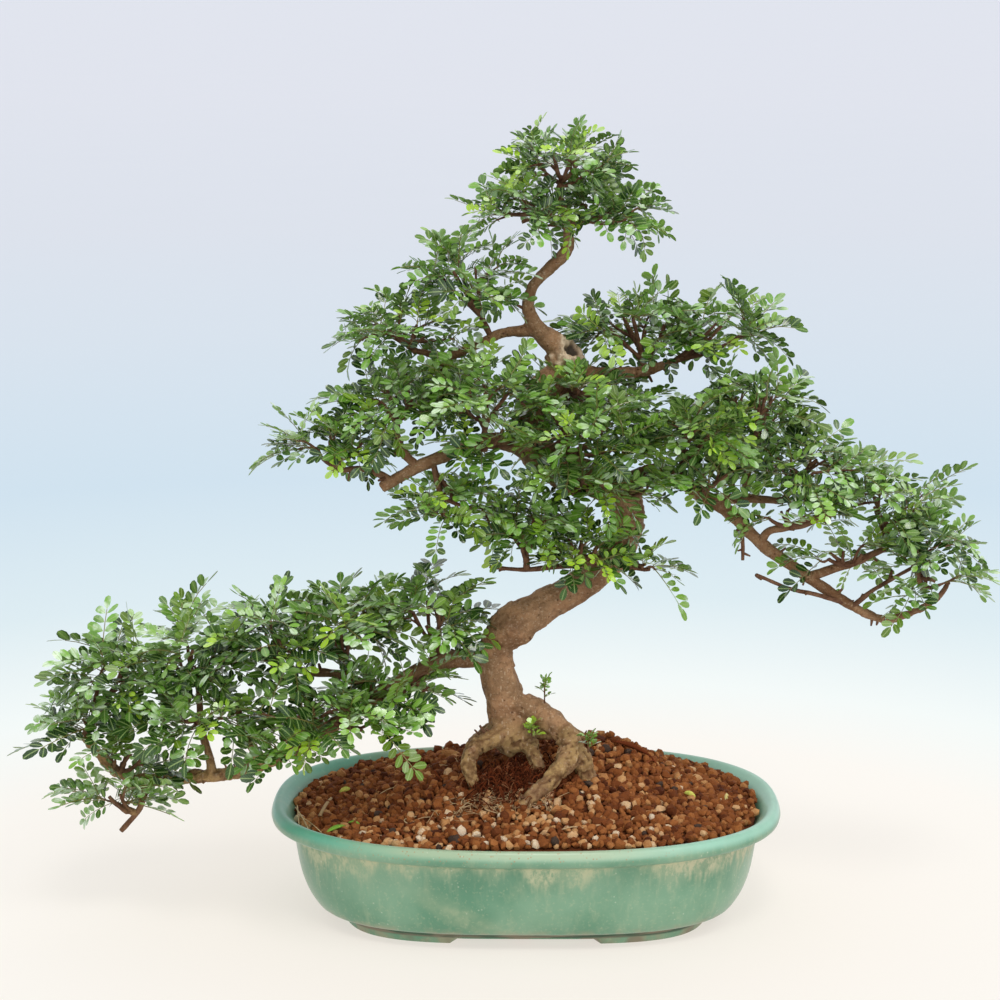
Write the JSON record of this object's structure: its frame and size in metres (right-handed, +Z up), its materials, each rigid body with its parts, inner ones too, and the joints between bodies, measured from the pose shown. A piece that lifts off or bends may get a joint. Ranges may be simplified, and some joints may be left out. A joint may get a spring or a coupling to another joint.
{
  "type": "chinese pepper bonsai in an oval pot",
  "caption": "Informal bonsai tree with curved trunk, bare roots, a long low limb and feathery leaf pads, in a shallow green oval pot.",
  "frame": {"origin": "on the surface the pot stands on, under the middle of the whole outline; the middle of the pot is 12 mm towards +X", "axes": "+Z up, +X along the pot's length towards the viewer's right, +Y away from the viewer, who sees the front with the three bare roots"},
  "size_m": [0.6605, 0.252, 0.5437],
  "materials": {
    "green_glaze": "gloss",
    "drain_plastic": "matte",
    "red_granules": "matte",
    "bark": "matte",
    "leaf_green": "satin"
  },
  "bodies": {
    "root": {"drain_mesh_left": "drain_plastic", "drain_mesh_right": "drain_plastic", "leaves_apex_left": "leaf_green", "leaves_apex_right": "leaf_green", "leaves_apex_top": "leaf_green", "leaves_crown_back": "leaf_green", "leaves_crown_back_left": "leaf_green", "leaves_crown_front": "leaf_green", "leaves_crown_front_left": "leaf_green", "leaves_crown_left_end": "leaf_green", "leaves_crown_left_high": "leaf_green", "leaves_crown_left_low": "leaf_green", "leaves_crown_left_mid": "leaf_green", "leaves_crown_low": "leaf_green", "leaves_crown_low_left": "leaf_green", "leaves_crown_low_right": "leaf_green", "leaves_low_centre": "leaf_green", "leaves_low_end": "leaf_green", "leaves_low_front": "leaf_green", "leaves_low_front_inner": "leaf_green", "leaves_low_hanging": "leaf_green", "leaves_low_inner": "leaf_green", "leaves_low_middle": "leaf_green", "leaves_low_outer": "leaf_green", "leaves_low_outer_high": "leaf_green", "leaves_right_back": "leaf_green", "leaves_right_centre": "leaf_green", "leaves_right_end": "leaf_green", "leaves_right_high": "leaf_green", "leaves_right_high_end": "leaf_green", "leaves_right_inner": "leaf_green", "leaves_right_outer": "leaf_green", "leaves_right_shoulder": "leaf_green", "pot": "green_glaze", "soil": "red_granules", "sprout_root_left": "leaf_green", "sprout_root_right": "leaf_green", "sprout_trunk": "leaf_green", "trunk_and_branches": "bark"}
  },
  "joints": []
}
